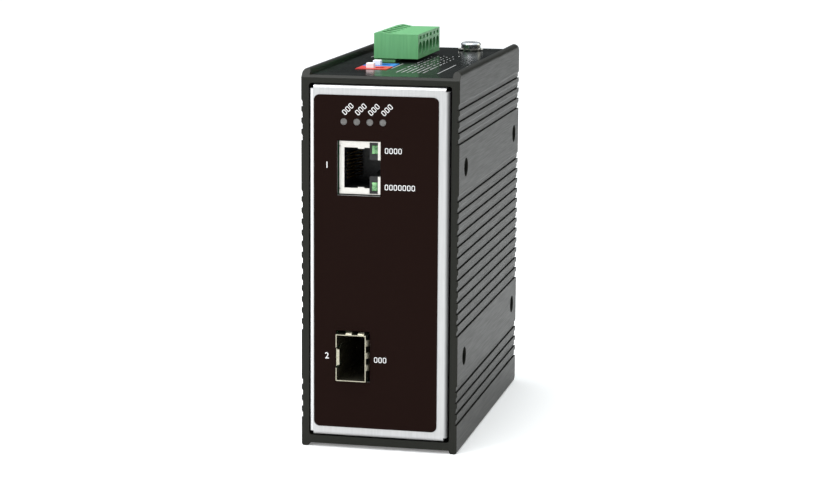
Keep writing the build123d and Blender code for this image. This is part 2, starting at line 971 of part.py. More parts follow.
def make_lamp_holder():
    """The black holder that carries the status lamps in front of the board."""
    start = front + lamp_block_front
    holder = block(
        board_face_x, lamp_places()[-1] + lamp_pitch / 2,
        start, start + lamp_block_depth,
        lamp_z - lamp_block_height / 2, lamp_z + lamp_block_height / 2,
    )
    for x in lamp_places():
        holder -= rod_y(start - cut_margin, start + lamp_seat(), x, lamp_z, lamp_diameter)
    return holder


def lamp_seat():
    """How deep a lamp sits in its holder."""
    return lamp_block_depth / 2


def make_status_lamps():
    """The four round lamps, from their holder to just under the film's face."""
    start = panel_face - overlay_thickness / 2
    end = front + lamp_block_front + lamp_seat()
    return [rod_y(start, end, x, lamp_z, lamp_diameter) for x in lamp_places()]


def switch_start(index):
    """Y of the front of a slide switch, counted from the front."""
    return switches_start + index * (switch_width + switch_gap)


def lever_left():
    """Left side of each lever at rest, at the left end of its slot."""
    return switch_left + lever_inset


def make_switch_body(index):
    """A slide switch's body, with the slot that its lever runs in."""
    y_low = switch_start(index)
    y_middle = y_low + switch_width / 2
    body = block(
        switch_left, switch_right, y_low, y_low + switch_width,
        switch_top - switch_height, switch_top,
    )
    slot_end = lever_left() + lever_length + lever_travel + lever_gap
    return body - block(
        lever_left() - lever_gap, slot_end,
        y_middle - slot_width / 2, y_middle + slot_width / 2,
        switch_top - slot_depth, switch_top + cut_margin,
    )


def make_switch_lever(index):
    """The white lever of a slide switch, with eased top edges."""
    y_middle = switch_start(index) + switch_width / 2
    lever = block(
        lever_left(), lever_left() + lever_length,
        y_middle - lever_width / 2, y_middle + lever_width / 2,
        switch_top - slot_depth + lever_gap, switch_top + lever_rise,
    )
    return fillet(lever.faces().sort_by(Axis.Z)[-1].edges(), lever_round)


def pole_places():
    """Y of each pole of the terminal."""
    first = plug_middle_y - pole_pitch * (pole_count - 1) / 2
    return [first + i * pole_pitch for i in range(pole_count)]


def pin_leg_z():
    """Height of the pins' legs that run into the board."""
    return header_bottom + pin_tail


def make_header_pins():
    """The six bent square pins, from the board up into the header."""
    half = pin_size / 2
    tail_end = board_back_x - pin_size
    pin_top = plug_bottom - 2 * pin_size
    pins = []
    for y in pole_places():
        shape = polygon(
            (tail_end, pin_leg_z() - half),
            (header_middle_x + half, pin_leg_z() - half),
            (header_middle_x + half, pin_top),
            (header_middle_x - half, pin_top),
            (header_middle_x - half, pin_leg_z() + half),
            (tail_end, pin_leg_z() + half),
        )
        pins.append(along_y(shape, y - half, y + half))
    return pins


def make_terminal_header():
    """The green header that the plug's foot stands in."""
    y_low = plug_start + header_end_inset
    y_high = plug_start + plug_length - header_end_inset
    header = block(
        header_left, header_left + header_width, y_low, y_high, header_bottom, header_top,
    )
    header -= block(
        header_left + header_wall, header_left + header_width - header_wall,
        y_low + header_wall, y_high - header_wall,
        header_bottom + header_floor, header_top + cut_margin,
    )
    half = pin_size / 2
    for y in pole_places():
        header -= block(
            header_middle_x - half, header_middle_x + half, y - half, y + half,
            pin_leg_z() - half, header_top,
        )
        header -= block(
            header_left - cut_margin, header_middle_x, y - half, y + half,
            pin_leg_z() - half, pin_leg_z() + half,
        )
    return header


def plug_section():
    """The plug's upper section, flat on the right and ridged over its screws on the left."""
    ridge_peak = plug_left + ridge_peak_inset
    return polygon(
        (plug_left, plug_bottom),
        (plug_right, plug_bottom),
        (plug_right, plug_top),
        (plug_left + ridge_width, plug_top),
        (ridge_peak, plug_top + ridge_rise),
        (plug_left, plug_top + ridge_edge_rise),
    )


def wire_way(y):
    """The oval way in for one wire, up to its clamp."""
    z = plug_bottom + wire_entry_z
    mouth = Pos(y, z) * Ellipse(wire_entry_width / 2, wire_entry_height / 2)
    return along_x(mouth, clamp_right, plug_right + cut_margin)


def clamp_cavity(y):
    """The space in the plug for one wire clamp, its rise, its contact and its screw's head."""
    half = clamp_width / 2 + clamp_gap
    cavity_left = contact_left - clamp_gap
    socket = pin_socket / 2
    head_hole = clamp_screw_head + 2 * clamp_screw_gap
    cavity = block(
        cavity_left, clamp_right + clamp_gap, y - half, y + half,
        clamp_bottom - clamp_gap, clamp_head_low,
    )
    cavity += block(
        cavity_left, header_middle_x, y - socket, y + socket,
        plug_bottom + contact_bend_rise - clamp_gap, clamp_bottom,
    )
    cavity += block(
        header_middle_x - socket, header_middle_x + socket, y - socket, y + socket,
        plug_foot_bottom - cut_margin, clamp_bottom,
    )
    head_top = plug_top + ridge_rise + cut_margin
    return cavity + rod_z(clamp_top, head_top, header_middle_x, y, head_hole)


def make_plug_body():
    """The green plug: wire mouths on the right, screws on top and a foot in the header."""
    body = along_y(plug_section(), plug_start, plug_start + plug_length)
    foot_half = header_width / 2 - header_wall - plug_foot_gap
    foot_inset = header_end_inset + header_wall + plug_foot_gap
    body += block(
        header_middle_x - foot_half, header_middle_x + foot_half,
        plug_start + foot_inset, plug_start + plug_length - foot_inset,
        plug_foot_bottom, plug_bottom,
    )
    slot_half = test_slot_width / 2
    slot_low = plug_bottom + test_slot_z - test_slot_height / 2
    for y in pole_places():
        body -= wire_way(y)
        body -= clamp_cavity(y)
        body -= block(
            plug_right - test_slot_depth, plug_right + cut_margin,
            y - slot_half, y + slot_half, slot_low, slot_low + test_slot_height,
        )
    return body


def make_plug_contacts():
    """The six bent contacts, each from inside its clamp down beside a header pin."""
    bend = plug_bottom + contact_bend_rise
    pin_side = header_middle_x - pin_size / 2 - clamp_gap
    tail_end = plug_foot_bottom + pin_size
    shape = polygon(
        (clamp_right, contact_top),
        (contact_left, contact_top),
        (contact_left, bend),
        (pin_side - contact_sheet, bend),
        (pin_side - contact_sheet, tail_end),
        (pin_side, tail_end),
        (pin_side, bend + contact_sheet),
        (contact_left + contact_sheet, bend + contact_sheet),
        (contact_left + contact_sheet, contact_top - contact_sheet),
        (clamp_right, contact_top - contact_sheet),
    )
    half = contact_width / 2
    return [along_y(shape, y - half, y + half) for y in pole_places()]


def make_wire_clamp(y):
    """A square metal sleeve that a screw pulls up to press its wire on the contact."""
    outer = clamp_width / 2
    inner = outer - clamp_wall
    shank_hole = clamp_screw_shank + 2 * thread_gap
    clamp = block(clamp_left, clamp_right, y - outer, y + outer, clamp_bottom, clamp_top)
    clamp -= block(
        clamp_left - cut_margin, clamp_right + cut_margin, y - inner, y + inner,
        clamp_bottom + clamp_wall, clamp_top - clamp_wall,
    )
    return clamp - rod_z(
        clamp_top - cut_margin, clamp_top + cut_margin, header_middle_x, y, shank_hole,
    )


def make_clamp_screw(y):
    """A slotted clamp screw that turns in the plug and reaches into its clamp."""
    head_top = clamp_head_low + clamp_screw_head_height
    screw = rod_z(clamp_head_low, head_top, header_middle_x, y, clamp_screw_head)
    screw += rod_z(
        clamp_top - clamp_wall, clamp_head_low, header_middle_x, y, clamp_screw_shank,
    )
    return screw - block(
        header_middle_x - clamp_screw_head, header_middle_x + clamp_screw_head,
        y - driver_slot / 2, y + driver_slot / 2,
        head_top - clamp_screw_head_height / 2, head_top + cut_margin,
    )


def make_ground_washer():
    """A ring with teeth around its rim, each tooth twisted out of the ring's plane."""
    washer_hole = ground_shank_diameter + 2 * thread_gap
    ring_diameter = washer_diameter - 2 * washer_tooth_length
    z_low = top_face + washer_lift
    ring = rod_z(z_low, z_low + washer_thickness, 0, 0, ring_diameter)
    tooth_middle = (ring_diameter + washer_tooth_length - washer_tooth_root) / 2
    tooth_length = washer_tooth_length + washer_tooth_root
    tooth = Box(tooth_length, washer_tooth_width, washer_thickness)
    for i in range(washer_tooth_count):
        turn = Rot(0, 0, i * 360 / washer_tooth_count)
        lift = Pos(tooth_middle, 0, z_low + washer_thickness / 2)
        ring += turn * lift * Rot(washer_tilt, 0, 0) * tooth
    ring -= rod_z(z_low - cut_margin, z_low + 2 * cut_margin, 0, 0, washer_hole)
    return Pos(ground_x, ground_y, 0) * ring


def make_ground_screw():
    """A pan head screw with a cross recess, over its toothed washer."""
    head_low = top_face + 2 * washer_thickness + thread_gap
    head_top = head_low + ground_head_height
    head = rod_z(head_low, head_top, 0, 0, ground_head_diameter)
    head = fillet(head.faces().sort_by(Axis.Z)[-1].edges(), ground_head_height / 2)
    shank_low = head_low - ground_shank_length
    screw = head + rod_z(shank_low, head_low, 0, 0, ground_shank_diameter)
    cross = Rectangle(cross_length, cross_width) + Rectangle(cross_width, cross_length)
    screw -= along_z(cross, head_top - ground_cross_depth, head_top + cut_margin)
    return Pos(ground_x, ground_y, 0) * screw


def make_rail_clip():
    """The clip's body: a thick plate with a hook for the rail and a channel for the latch."""
    half = clip_width / 2
    slot_back = clip_back + rail_sheet + rail_gap
    hook_back = slot_back + hook_wall
    hook_low = rail_head_z - hook_cover
    outline = polygon(
        (rear, clip_bottom),
        (clip_back, clip_bottom),
        (clip_back, rail_head_z + rail_gap),
        (slot_back, rail_head_z + rail_gap),
        (slot_back, hook_low),
        (slot_back + hook_wall / 2, hook_low),
        (hook_back, hook_low + hook_wall / 2),
        (hook_back, clip_top - hook_wall / 2),
        (hook_back - hook_wall / 2, clip_top),
        (rear, clip_top),
    )
    body = along_x(outline, -half, half)
    channel_front = rear + channel_floor
    channel_low = clip_bottom - cut_margin
    body -= block(
        -channel_half_wide, channel_half_wide,
        channel_front, channel_front + channel_step,
        channel_low, channel_top,
    )
    body -= block(
        -channel_half_narrow, channel_half_narrow,
        channel_front, clip_back + cut_margin,
        channel_low, channel_top,
    )
    lug_half = spring_window_width / 2 - latch_gap
    body += block(
        -lug_half, lug_half, rear + channel_floor / 2, clip_back - 2 * latch_gap,
        lug_bottom, lug_top,
    )
    for x, z in clip_screw_places():
        body -= Pos(x, clip_back, z) * Rot(-90, 0, 0) * clip_countersink()
    return body


def clip_countersink():
    """The hole through the clip for one of its screws."""
    hole = rod_z(-clip_screw_length, 0, 0, 0, flat_shank_diameter + 2 * thread_gap)
    return hole + countersink()


def make_clip_screws():
    """The four countersunk screws of the rail clip."""
    screws = []
    for x, z in clip_screw_places():
        screws.append(Pos(x, clip_back, z) * Rot(-90, 0, 0) * flat_screw(clip_screw_length))
    return screws


def make_rail_latch():
    """The sliding latch: a winged plate with a bevelled tongue behind the rail and a pull eye."""
    plate_front = rear + channel_floor + latch_gap
    plate_back = clip_back - latch_gap
    wing_back = rear + channel_floor + channel_step - latch_gap
    plate_low = clip_bottom - latch_tail
    half = channel_half_narrow - latch_gap
    wing = channel_half_wide - latch_gap
    latch = block(-half, half, plate_front, plate_back, plate_low, latch_top)
    latch += block(-wing, wing, plate_front, wing_back, clip_bottom, latch_top)
    slot_back = clip_back + rail_sheet + rail_gap
    tongue_back = slot_back + latch_tongue_wall
    tongue_top = rail_foot_z + latch_tongue
    shelf_top = rail_foot_z - rail_gap
    shelf_low = shelf_top - hook_height
    tongue = polygon(
        (plate_back, shelf_low),
        (tongue_back - latch_tongue_wall / 2, shelf_low),
        (tongue_back, shelf_low + latch_tongue_wall / 2),
        (tongue_back, tongue_top - latch_tongue_wall),
        (slot_back, tongue_top),
        (slot_back, shelf_top),
        (plate_back, shelf_top),
    )
    latch += along_x(tongue, -half, half)
    window = spring_window_width / 2
    latch -= block(
        -window, window, plate_front - cut_margin, plate_back + cut_margin,
        window_bottom, window_top,
    )
    eye_low = plate_low + latch_bridge
    eye_half = latch_eye_width / 2
    latch -= block(
        -eye_half, eye_half, plate_front - cut_margin, plate_back + cut_margin,
        eye_low, eye_low + latch_eye_height,
    )
    return latch


def make_latch_spring():
    """The coil spring between the clip's lug and the top of the latch's window."""
    wire_half = spring_wire / 2
    low = lug_top + thread_gap + wire_half
    high = window_top - thread_gap - wire_half
    coil_radius = spring_diameter / 2 - wire_half
    step_count = spring_turns * spring_steps
    points = []
    for step in range(step_count + 1):
        angle = 2 * pi * step / spring_steps
        rise = (high - low) * step / step_count
        points.append((coil_radius * cos(angle), coil_radius * sin(angle), low + rise))
    path = Polyline(*points)
    section = Plane(path @ 0, z_dir=path % 0) * RegularPolygon(wire_half, spring_wire_sides)
    coil = sweep(section, path, transition=Transition.RIGHT)
    middle_y = (rear + channel_floor + clip_back) / 2
    return Pos(0, middle_y, 0) * coil


def make_main_chip():
    """A flat square chip with leads on its four sides."""
    low = board_face_x + lead_thickness
    half = chip_side / 2
    body = block(low, low + chip_height, -half, half, -half, half)
    first = -lead_pitch * (lead_count - 1) / 2
    for i in range(lead_count):
        place = first + i * lead_pitch
        for side in (-1, 1):
            tip = side * (half + lead_reach)
            near = side * (half - lead_reach)
            y_low, y_high = sorted((near, tip))
            body += block(
                board_face_x, low + lead_thickness, y_low, y_high,
                place - lead_width / 2, place + lead_width / 2,
            )
            body += block(
                board_face_x, low + lead_thickness,
                place - lead_width / 2, place + lead_width / 2, y_low, y_high,
            )
    return Pos(0, front + chip_y, chip_z) * body


def board_block(size, y, z):
    """A part on the board's face, centred on Y and Z: length, width and height off the board."""
    length, width, height = size
    body = block(
        board_face_x, board_face_x + height,
        y - length / 2, y + length / 2, z - width / 2, z + width / 2,
    )
    return fillet(body.faces().sort_by(Axis.X)[-1].edges(), block_round)


def make_capacitors():
    """The two round capacitors that smooth the supply."""
    cans = []
    for i in (0, 1):
        z = capacitor_z - i * capacitor_spacing
        end_x = board_face_x + capacitor_height
        can = rod_x(board_face_x, end_x, rear - capacitor_inset, z, capacitor_diameter)
        cans.append(chamfer(can.faces().sort_by(Axis.X)[-1].edges(), capacitor_edge))
    return cans


def make_parts():
    """Every sub-part by name. A list is a group of like solids."""
    parts = {
        "housing": make_housing(),
        "front_panel": make_front_panel(),
        "front_overlay": make_front_overlay(),
        "front_panel_screws": make_panel_screws(front + flange_screw_inset),
        "rear_cover": make_rear_cover(),
        "rear_cover_screws": make_panel_screws(rear - flange_screw_inset),
        "top_plate": make_top_plate(),
        "main_board": make_main_board(),
        "jack_shield": make_jack_shield(),
        "jack_insert": make_jack_insert(),
        "jack_contacts": make_jack_contacts(),
        "jack_lamps": make_jack_lamps(),
        "fibre_cage": make_fibre_cage(),
        "cage_connector": make_cage_connector(),
        "lamp_holder": make_lamp_holder(),
        "status_lamps": make_status_lamps(),
        "red_switch_body": make_switch_body(0),
        "red_switch_lever": make_switch_lever(0),
        "blue_switch_body": make_switch_body(1),
        "blue_switch_lever": make_switch_lever(1),
        "terminal_header": make_terminal_header(),
        "header_pins": make_header_pins(),
        "plug_body": make_plug_body(),
        "plug_contacts": make_plug_contacts(),
        "ground_screw": make_ground_screw(),
        "ground_washer": make_ground_washer(),
        "rail_clip": make_rail_clip(),
        "rail_clip_screws": make_clip_screws(),
        "rail_latch": make_rail_latch(),
        "latch_spring": make_latch_spring(),
        "main_chip": make_main_chip(),
        "line_transformer": board_block(magnetics_size, magnetics_y, jack_z),
        "alarm_relay": board_block(relay_size, plug_middle_y, header_bottom - relay_drop),
        "power_inductor": board_block(inductor_size, rear - inductor_inset, inductor_z),
        "supply_capacitors": make_capacitors(),
        "clock_crystal": board_block(crystal_size, front + crystal_y, crystal_z),
    }
    for number, y in enumerate(pole_places(), start=1):
        parts[f"wire_clamp_{number}"] = make_wire_clamp(y)
        parts[f"clamp_screw_{number}"] = make_clamp_screw(y)
    return parts


def as_one_shape(shape):
    """A single solid as it is, or a group of like solids as one compound."""
    if isinstance(shape, list):
        return Compound(children=[solid for piece in shape for solid in piece.solids()])
    return shape


os.makedirs("parts", exist_ok=True)
for name, shape in make_parts().items():
    export_step(as_one_shape(shape), f"parts/{name}.step")
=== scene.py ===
import json
import math

import bpy
from mathutils import Matrix, Vector


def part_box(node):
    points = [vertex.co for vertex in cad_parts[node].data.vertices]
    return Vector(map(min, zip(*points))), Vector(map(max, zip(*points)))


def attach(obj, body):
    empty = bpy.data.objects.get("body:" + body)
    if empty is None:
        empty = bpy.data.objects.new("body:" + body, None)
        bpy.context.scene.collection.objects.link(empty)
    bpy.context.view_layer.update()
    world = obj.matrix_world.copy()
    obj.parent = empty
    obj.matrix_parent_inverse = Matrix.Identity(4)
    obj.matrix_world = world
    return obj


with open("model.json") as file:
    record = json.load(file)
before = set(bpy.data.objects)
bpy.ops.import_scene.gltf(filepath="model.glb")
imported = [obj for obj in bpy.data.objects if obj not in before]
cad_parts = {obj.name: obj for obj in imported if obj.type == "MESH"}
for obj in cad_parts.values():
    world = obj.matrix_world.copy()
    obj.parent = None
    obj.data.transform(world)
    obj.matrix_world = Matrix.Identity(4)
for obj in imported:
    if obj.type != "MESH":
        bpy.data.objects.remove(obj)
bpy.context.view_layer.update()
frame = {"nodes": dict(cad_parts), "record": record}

# Lengths are in metres and angles in degrees. Colours are shares of red, green and blue.
MM = 0.001

# The photograph's camera, in the frame of the object
camera_place = (0.153236, -0.706917, 0.179082)
camera_turn = 12.416
camera_dip = 9.812
camera_roll = 0.351
camera_lens_mm = 103.27
camera_sensor_mm = 36.0
camera_near = 0.01
camera_far = 100.0

# Floor
floor_size = 12.0
floor_glow = 0.2

# Sky. A rise is the upward share of a direction, from 0 level to 1 straight up.
sky_colour = (0.92, 0.97, 1.0)
sky_high_strength = 1.1
sky_low_strength = 0.03
sky_low_rise = 0.22
sky_high_rise = 0.6

# Lights: name, place, size, watts and colour
light_aim = (0.0, 0.0, 0.06)
white = (1.0, 1.0, 1.0)
lights = (
    ("right_light", (1.2, 0.7, 0.6), 1.0, 3.5, (1.0, 0.97, 0.8)),
    ("top_light", (-0.2, -0.3, 1.5), 0.9, 16.0, white),
    ("left_light", (-1.0, -1.1, 0.5), 0.8, 12.0, white),
)

# The part of a noise pattern's values that is used
noise_low = 0.3
noise_high = 0.7

# Rounding of sharp edges in the shading
case_edge_radius = 0.12 * MM
terminal_edge_radius = 0.15 * MM
edge_samples = 4

# The way that the sheet metal's bends with painted shade face, and how far along it the painted shade
# starts and ends
shaded_bend_direction = (0.86, 0.0, -0.51)
shaded_bend_start = -0.2
shaded_bend_end = 0.6

# How much of the lens colour comes from light inside it, and how far that light spreads
lens_glow_share = 0.2
lens_glow_reach = 0.4 * MM

# Grain of the plastics: how far it lowers and raises the roughness
plastic_smoother = 0.05
plastic_rougher = 0.08

# Metals: darker and lighter colour, lowest and highest roughness
metals = {
    "dark_screws": ((0.02, 0.02, 0.02), (0.05, 0.05, 0.05), 0.35, 0.5),
    "tin_steel": ((0.66, 0.64, 0.59), (0.71, 0.69, 0.65), 0.3, 0.36),
    "gold_contacts": ((0.22, 0.15, 0.05), (0.4, 0.28, 0.1), 0.3, 0.4),
    "zinc_steel": ((0.66, 0.68, 0.7), (0.84, 0.85, 0.86), 0.2, 0.3),
    "clip_metal": ((0.03, 0.03, 0.03), (0.07, 0.07, 0.07), 0.35, 0.5),
    "capacitor_can": ((0.12, 0.13, 0.2), (0.2, 0.21, 0.3), 0.3, 0.4),
    "dull_steel": ((0.1, 0.1, 0.1), (0.16, 0.16, 0.16), 0.4, 0.5),
    "nickel": ((0.36, 0.34, 0.25), (0.5, 0.48, 0.38), 0.26, 0.36),
}

# Plastics: darker and lighter colour, and roughness
plastics = {
    "black_plastic": ((0.006, 0.006, 0.006), (0.012, 0.012, 0.012), 0.45),
    "red_plastic": ((0.6, 0.03, 0.025), (0.74, 0.06, 0.05), 0.3),
    "blue_plastic": ((0.02, 0.16, 0.55), (0.04, 0.24, 0.68), 0.3),
    "white_plastic": ((0.93, 0.93, 0.93), (0.98, 0.98, 0.98), 0.35),
    "relay_plastic": ((0.6, 0.4, 0.03), (0.7, 0.5, 0.05), 0.3),
    "ferrite": ((0.03, 0.03, 0.03), (0.06, 0.06, 0.06), 0.6),
}

# Lenses: darker and lighter colour
lenses = {
    "green_lens": ((0.02, 0.12, 0.03), (0.3, 0.62, 0.28)),
    "clear_lens": ((0.1, 0.095, 0.09), (0.14, 0.135, 0.13)),
}

# Nodes with another finish than their slot's, by the start of their name
own_finishes = {
    "fibre_cage": "nickel",
    "ground_washer": "tin_steel",
    "wire_clamp": "dull_steel",
    "clamp_screw": "dull_steel",
}

# How far all printed marks stand proud
mark_thickness = 0.02 * MM

# Numbers printed on the front film: text, and Z of the middle
number_height = 2.6 * MM
number_thickening = 0.01 * MM
number_x = -15.4 * MM
numbers = (
    ("1", 84.3 * MM),
    ("2", 27.8 * MM),
)

# Rows of rings beside the sockets: X of the first ring, Z and count
socket_marks = (
    (1.8 * MM, 89.0 * MM, 4),
    (1.8 * MM, 78.4 * MM, 7),
    (-1.2 * MM, 27.3 * MM, 3),
)
ring_width = 1.0 * MM
ring_height = 1.6 * MM
ring_line = 0.19 * MM
ring_corner_share = 0.25
ring_step = 1.32 * MM

# Rows of rings above the status lamps
lamp_count = 4
lamp_ring_count = 3
lamp_marks_turn = 45.0
lamp_marks_rise = 3.2 * MM
lamp_marks_shift = 0.9 * MM

# Lines printed on the top plate: X, start and end behind the case's front
plate_lines = (
    (14.1 * MM, 13.0 * MM, 40.0 * MM),
    (-2.2 * MM, 24.5 * MM, 40.0 * MM),
    (-16.4 * MM, 58.0 * MM, 64.0 * MM),
)
plate_line_width = 0.2 * MM

# Rows of dashes printed on the top plate
row_count = 6
first_row_x = 1.6 * MM
row_spacing = 1.6 * MM
dash_count = 32
first_dash_start = 14.0 * MM
dash_step = 1.7 * MM
dash_lengths = (1.2 * MM, 0.96 * MM, 0.72 * MM)
dash_width = 0.3 * MM

# The fixed shuffle that leaves dashes out: its length, its steps from row to row and from dash to
# dash, and how many of its places are out just past the last dash
shuffle_length = 8
shuffle_row_step = 5
shuffle_dash_step = 3
shuffle_left_out = 7


# Building blocks for materials

def add_node(tree, kind, **settings):
    """Adds a shader node and sets its plain properties."""
    node = tree.nodes.new(kind)
    for name, value in settings.items():
        setattr(node, name, value)
    return node


def new_material(name, colour, roughness, metallic=0.0, specular=0.5):
    """A material with one principled shader. Returns the material, its tree and the shader."""
    material = bpy.data.materials.new(name)
    material.use_nodes = True
    tree = material.node_tree
    shader = tree.nodes["Principled BSDF"]
    shader.inputs["Base Color"].default_value = (*colour, 1.0)
    shader.inputs["Roughness"].default_value = roughness
    shader.inputs["Metallic"].default_value = metallic
    shader.inputs["Specular IOR Level"].default_value = specular
    material.diffuse_color = (*colour, 1.0)
    return material, tree, shader


def pattern(tree, scale, stretch=(1.0, 1.0, 1.0), detail=3.0):
    """A noise pattern fixed to the object, with its grain stretched along the axes."""
    coordinates = add_node(tree, "ShaderNodeTexCoord")
    mapping = add_node(tree, "ShaderNodeMapping")
    mapping.inputs["Scale"].default_value = stretch
    noise = add_node(tree, "ShaderNodeTexNoise")
    noise.inputs["Scale"].default_value = scale
    noise.inputs["Detail"].default_value = detail
    tree.links.new(coordinates.outputs["Object"], mapping.inputs["Vector"])
    tree.links.new(mapping.outputs["Vector"], noise.inputs["Vector"])
    return noise.outputs["Fac"]


def remap(tree, value, from_low, from_high, to_low=0.0, to_high=1.0):
    """Turns one range of values into another."""
    node = add_node(tree, "ShaderNodeMapRange")
    node.inputs["From Min"].default_value = from_low
    node.inputs["From Max"].default_value = from_high
    node.inputs["To Min"].default_value = to_low
    node.inputs["To Max"].default_value = to_high
    tree.links.new(value, node.inputs["Value"])
    return node.outputs["Result"]


def vary_roughness(tree, shader, noise, low, high):
    """Lets a pattern move the roughness between two values."""
    roughness = remap(tree, noise, noise_low, noise_high, low, high)
    tree.links.new(roughness, shader.inputs["Roughness"])


def add_blend(tree, share, second):
    """A node that blends to a second colour as a share goes from zero to one."""
    blend = add_node(tree, "ShaderNodeMix", data_type="RGBA")
    blend.inputs["B"].default_value = (*second, 1.0)
    tree.links.new(share, blend.inputs["Factor"])
    return blend


def blend_by_noise(tree, noise, dark, light):
    """A colour that a pattern moves between a darker and a lighter one."""
    blend = add_blend(tree, remap(tree, noise, noise_low, noise_high), light)
    blend.inputs["A"].default_value = (*dark, 1.0)
    return blend.outputs["Result"]


def vary_colour(tree, shader, noise, dark, light):
    """Lets a pattern move the shader's colour between a darker and a lighter one."""
    tree.links.new(blend_by_noise(tree, noise, dark, light), shader.inputs["Base Color"])


def facing(tree, direction):
    """How far a surface faces along a direction of the object."""
    coordinates = add_node(tree, "ShaderNodeTexCoord")
    product = add_node(tree, "ShaderNodeVectorMath", operation="DOT_PRODUCT")
    product.inputs[1].default_value = direction
    tree.links.new(coordinates.outputs["Normal"], product.inputs[0])
    return product.outputs["Value"]


def add_relief(tree, shader, noise, strength, height, edge_radius=0.0):
    """Lets a pattern raise the surface a little, and softens sharp edges if a radius is given."""
    bump = add_node(tree, "ShaderNodeBump")
    bump.inputs["Strength"].default_value = strength
    bump.inputs["Distance"].default_value = height
    tree.links.new(noise, bump.inputs["Height"])
    if edge_radius > 0.0:
        bevel = add_node(tree, "ShaderNodeBevel", samples=edge_samples)
        bevel.inputs["Radius"].default_value = edge_radius
        tree.links.new(bevel.outputs["Normal"], bump.inputs["Normal"])
    tree.links.new(bump.outputs["Normal"], shader.inputs["Normal"])


# Materials

def case_material():
    """Satin black anodised extrusion, with faint drawing lines along its length."""
    material, tree, shader = new_material(
        "case", colour=(0.011, 0.0115, 0.0085), roughness=0.42, specular=0.17
    )
    drawn = pattern(tree, scale=2600.0, stretch=(1.0, 0.03, 1.0))
    fine = pattern(tree, scale=5200.0)
    vary_roughness(tree, shader, drawn, low=0.38, high=0.47)
    vary_colour(
        tree, shader, drawn, dark=(0.0095, 0.0099, 0.0072), light=(0.0125, 0.013, 0.0098)
    )
    add_relief(tree, shader, fine, strength=0.25, height=0.02 * MM, edge_radius=case_edge_radius)
    return material


def bright_panel_material():
    """Satin aluminium sheet, brushed upright, with painted shade darkening the bends on its right and
    lower sides.
    """
    material, tree, shader = new_material(
        "bright_panel", colour=(0.55, 0.55, 0.55), roughness=0.4, metallic=0.75
    )
    brushed = pattern(tree, scale=1900.0, stretch=(1.0, 1.0, 0.04))
    grain = pattern(tree, scale=2600.0)
    vary_roughness(tree, shader, brushed, low=0.36, high=0.46)
    sheet = blend_by_noise(tree, brushed, dark=(0.6, 0.6, 0.6), light=(0.68, 0.68, 0.68))
    # Painted shade: surfaces facing right and down are blended towards dark grey
    bend_shade = remap(tree, facing(tree, shaded_bend_direction), shaded_bend_start, shaded_bend_end)
    blend = add_blend(tree, bend_shade, second=(0.13, 0.13, 0.13))
    tree.links.new(sheet, blend.inputs["A"])
    tree.links.new(blend.outputs["Result"], shader.inputs["Base Color"])
    add_relief(tree, shader, grain, strength=0.15, height=0.01 * MM)
    return material


def film_material():
    """Matt dark brown film."""
    material, tree, shader = new_material(
        "dark_film", colour=(0.0095, 0.0038, 0.0028), roughness=0.5, specular=0.03
    )
    grain = pattern(tree, scale=3000.0)
    vary_roughness(tree, shader, grain, low=0.45, high=0.6)
    add_relief(tree, shader, grain, strength=0.1, height=0.01 * MM)
    return material


def ink_material(name, dark, light):
    """Grey or white printing ink, a little uneven between two brightnesses."""
    material, tree, shader = new_material(name, colour=(light,) * 3, roughness=0.55, specular=0.3)
    grain = pattern(tree, scale=4000.0)
    vary_colour(tree, shader, grain, (dark,) * 3, (light,) * 3)
    return material


def plate_material():
    """Glossy black plate."""
    material, tree, shader = new_material(
        "gloss_plate", colour=(0.008, 0.01, 0.009), roughness=0.2, specular=0.16
    )
    waves = pattern(tree, scale=60.0)
    vary_roughness(tree, shader, waves, low=0.15, high=0.26)
    add_relief(tree, shader, waves, strength=0.1, height=0.05 * MM)
    return material


def plastic_material(name, dark, light, roughness, edge_radius=0.0, stretch=(1.0, 1.0, 1.0)):
    """Moulded plastic with a fine grain and faint clouds or flow lines."""
    material, tree, shader = new_material(name, light, roughness, specular=0.45)
    cloud = pattern(tree, scale=260.0, stretch=stretch)
    grain = pattern(tree, scale=3600.0)
    vary_colour(tree, shader, cloud, dark, light)
    vary_roughness(
        tree, shader, grain, low=roughness - plastic_smoother, high=roughness + plastic_rougher
    )
    add_relief(tree, shader, grain, strength=0.15, height=0.015 * MM, edge_radius=edge_radius)
    return material


def terminal_material():
    """Green plastic of the terminal, with upright flow lines and soft edges."""
    return plastic_material(
        "green_plastic",
        dark=(0.118, 0.38, 0.15),
        light=(0.15, 0.45, 0.185),
        roughness=0.42,
        edge_radius=terminal_edge_radius,
        stretch=(4.0, 4.0, 0.3),
    )


def metal_material(name, dark, light, low, high):
    """Bare or plated metal with faint clouds, between two roughnesses."""
    material, tree, shader = new_material(name, light, roughness=(low + high) / 2, metallic=1.0)
    clouds = pattern(tree, scale=1500.0)
    vary_colour(tree, shader, clouds, dark, light)
    vary_roughness(tree, shader, clouds, low, high)
    add_relief(tree, shader, clouds, strength=0.1, height=0.01 * MM)
    return material


def lens_material(name, dark, light):
    """A milky lens that lets some light in."""
    material, tree, shader = new_material(name, light, roughness=0.25)
    shader.inputs["Subsurface Weight"].default_value = lens_glow_share
    shader.inputs["Subsurface Radius"].default_value = (lens_glow_reach,) * 3
    cloud = pattern(tree, scale=900.0)
    vary_roughness(tree, shader, cloud, low=0.1, high=0.3)
    vary_colour(tree, shader, cloud, dark, light)
    return material


def board_material():
    """Green solder mask with faint copper tracks under it."""
    material, tree, shader = new_material("board", colour=(0.012, 0.09, 0.035), roughness=0.3)
    tracks = pattern(tree, scale=420.0, detail=0.0)
    vary_colour(tree, shader, tracks, dark=(0.009, 0.07, 0.026), light=(0.02, 0.13, 0.05))
    add_relief(tree, shader, tracks, strength=0.2, height=0.03 * MM)
    return material


